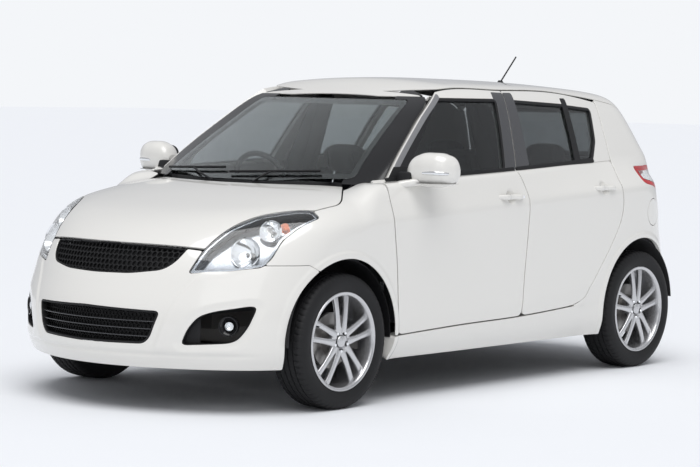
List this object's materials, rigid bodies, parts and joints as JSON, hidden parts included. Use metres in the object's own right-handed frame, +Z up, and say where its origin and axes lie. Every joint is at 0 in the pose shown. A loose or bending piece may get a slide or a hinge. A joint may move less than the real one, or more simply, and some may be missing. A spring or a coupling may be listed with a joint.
{
  "type": "hatchback car",
  "caption": "Five-door hatchback car with opening doors, bonnet and tailgate, steered front wheels and turning wheels.",
  "frame": {"origin": "on the ground, midway between the bumpers' ends, in the car's middle plane", "axes": "+X forward, +Y to the car's left, +Z up"},
  "size_m": [3.8317, 1.984, 1.6208],
  "materials": {
    "painted": "gloss",
    "clear_glass": "gloss",
    "tinted_glass": "gloss",
    "lamp_clear": "gloss",
    "lamp_red": "gloss",
    "black_plastic": "matt",
    "tyre": "matt",
    "alloy": "satin",
    "cast": "matt",
    "steel": "satin",
    "underbody": "matt",
    "fabric": "matt"
  },
  "bodies": {
    "root": {"floor_pan": "underbody", "body_side_left": "painted", "body_side_right": "painted", "roof_panel": "painted", "windscreen": "clear_glass", "front_wings": "painted", "front_bumper": "painted", "rear_bumper": "painted", "headlamps": "lamp_clear", "fog_lamps": "black_plastic", "tail_lamps": "lamp_red", "grilles": "black_plastic", "arch_liners": "black_plastic", "front_subframe": "cast", "rear_axle": "cast", "rear_springs": "steel", "engine_block": "cast", "exhaust": "steel", "fuel_tank": "black_plastic", "dashboard": "black_plastic", "front_seats": "fabric", "rear_seat": "fabric", "aerial": "black_plastic", "wipers": "black_plastic"},
    "bonnet": {"bonnet": "painted"},
    "tailgate": {"tailgate": "painted", "rear_window": "tinted_glass"},
    "steering_wheel": {"steering_wheel": "black_plastic"},
    "front_door_left": {"front_door_left": "painted", "front_glass_left": "clear_glass", "mirror_left": "painted"},
    "rear_door_left": {"rear_door_left": "painted", "rear_glass_left": "tinted_glass"},
    "steering_knuckle_left": {"steering_knuckle_left": "cast"},
    "wheel_front_left": {"tyre_front_left": "tyre", "rim_front_left": "alloy"},
    "wheel_rear_left": {"tyre_rear_left": "tyre", "rim_rear_left": "alloy"},
    "front_door_right": {"front_door_right": "painted", "front_glass_right": "clear_glass", "mirror_right": "painted"},
    "rear_door_right": {"rear_door_right": "painted", "rear_glass_right": "tinted_glass"},
    "steering_knuckle_right": {"steering_knuckle_right": "cast"},
    "wheel_front_right": {"tyre_front_right": "tyre", "rim_front_right": "alloy"},
    "wheel_rear_right": {"tyre_rear_right": "tyre", "rim_rear_right": "alloy"}
  },
  "joints": [
    {"name": "front_door_left_hinge", "type": "hinge", "parent": "root", "child": "front_door_left", "pos_m": [0.735, 0.818, 0.61], "axis": [0, 0, -1], "range_deg": [0, 66]},
    {"name": "rear_door_left_hinge", "type": "hinge", "parent": "root", "child": "rear_door_left", "pos_m": [-0.322, 0.822, 0.61], "axis": [0, 0, -1], "range_deg": [0, 66]},
    {"name": "front_door_right_hinge", "type": "hinge", "parent": "root", "child": "front_door_right", "pos_m": [0.735, -0.818, 0.61], "axis": [0, 0, 1], "range_deg": [0, 66]},
    {"name": "rear_door_right_hinge", "type": "hinge", "parent": "root", "child": "rear_door_right", "pos_m": [-0.322, -0.822, 0.61], "axis": [0, 0, 1], "range_deg": [0, 66]},
    {"name": "bonnet_hinge", "type": "hinge", "parent": "root", "child": "bonnet", "pos_m": [0.85, 0, 0.952], "axis": [0, -1, 0], "range_deg": [0, 46]},
    {"name": "tailgate_hinge", "type": "hinge", "parent": "root", "child": "tailgate", "pos_m": [-1.584, 0, 1.362], "axis": [0, 1, 0], "range_deg": [0, 78]},
    {"name": "steering_left", "type": "hinge", "parent": "root", "child": "steering_knuckle_left", "pos_m": [1.11, 0.68, 0.205], "axis": [-0.0364, -0.1862, 0.9818], "range_deg": [-34, 34]},
    {"name": "steering_right", "type": "hinge", "parent": "root", "child": "steering_knuckle_right", "pos_m": [1.11, -0.68, 0.205], "axis": [-0.0364, 0.1862, 0.9818], "range_deg": [-34, 34]},
    {"name": "steering_wheel_turn", "type": "hinge", "parent": "root", "child": "steering_wheel", "pos_m": [0.34, -0.35, 0.93], "axis": [-0.9436, 0, 0.3311], "range_deg": [-510, 510]},
    {"name": "wheel_front_left_spin", "type": "hinge", "parent": "steering_knuckle_left", "child": "wheel_front_left", "pos_m": [1.11, 0.74, 0.305], "axis": [0, 1, 0], "continuous": true},
    {"name": "wheel_rear_left_spin", "type": "hinge", "parent": "root", "child": "wheel_rear_left", "pos_m": [-1.32, 0.74, 0.305], "axis": [0, 1, 0], "continuous": true},
    {"name": "wheel_front_right_spin", "type": "hinge", "parent": "steering_knuckle_right", "child": "wheel_front_right", "pos_m": [1.11, -0.74, 0.305], "axis": [0, 1, 0], "continuous": true},
    {"name": "wheel_rear_right_spin", "type": "hinge", "parent": "root", "child": "wheel_rear_right", "pos_m": [-1.32, -0.74, 0.305], "axis": [0, 1, 0], "continuous": true}
  ],
  "couplings": [
    {"joint": "steering_right", "follows": "steering_left", "ratio": 1},
    {"joint": "steering_wheel_turn", "follows": "steering_left", "ratio": 15}
  ]
}
